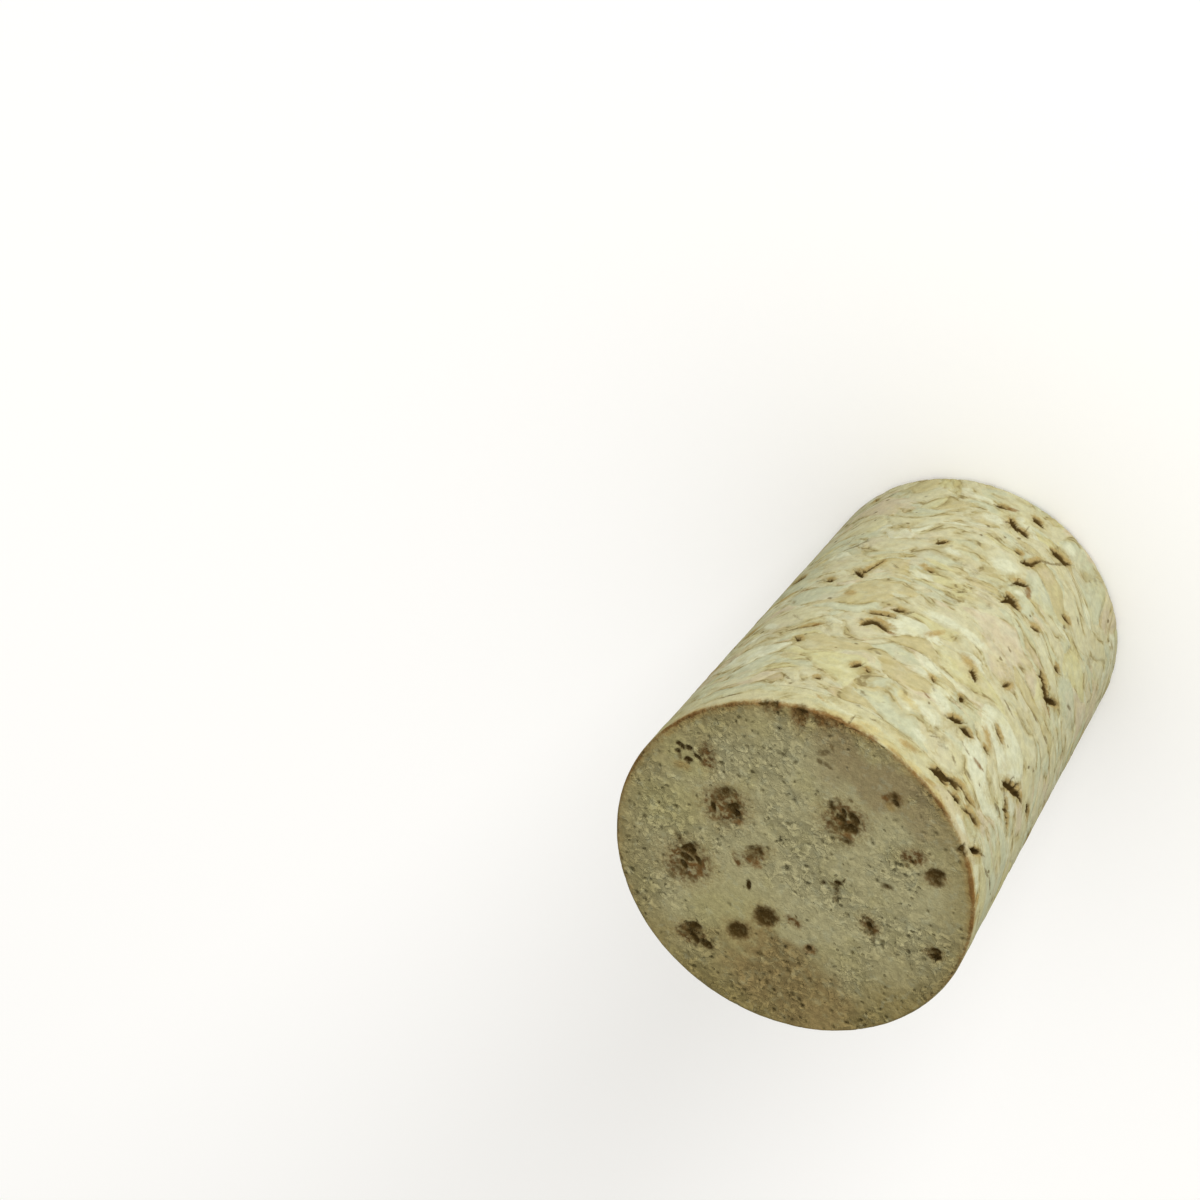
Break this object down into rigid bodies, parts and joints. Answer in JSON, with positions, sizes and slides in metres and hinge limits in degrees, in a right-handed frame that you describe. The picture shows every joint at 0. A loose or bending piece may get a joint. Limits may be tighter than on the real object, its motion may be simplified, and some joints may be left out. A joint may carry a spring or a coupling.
{
  "type": "cork stopper",
  "caption": "Tapered cork stopper of pressed cork granules with a natural cork disc glued on its wide end; plugs a bottle or flask neck.",
  "frame": {"origin": "middle of the small end, on the surface that the stopper stands on", "axes": "+Z along the axis from the small end to the wide end; -Y is the side seen in the picture"},
  "size_m": [0.024, 0.024, 0.034],
  "materials": {
    "pressed_cork": "matt pressed cork granules, cream to pinkish beige with thin brown joints and small dark gaps",
    "natural_cork": "matt natural cork, greenish beige with fine pits, brown pores and a brown stain"
  },
  "bodies": {
    "root": {"agglomerated_body": "pressed_cork", "natural_cork_disc": "natural_cork"}
  },
  "joints": []
}
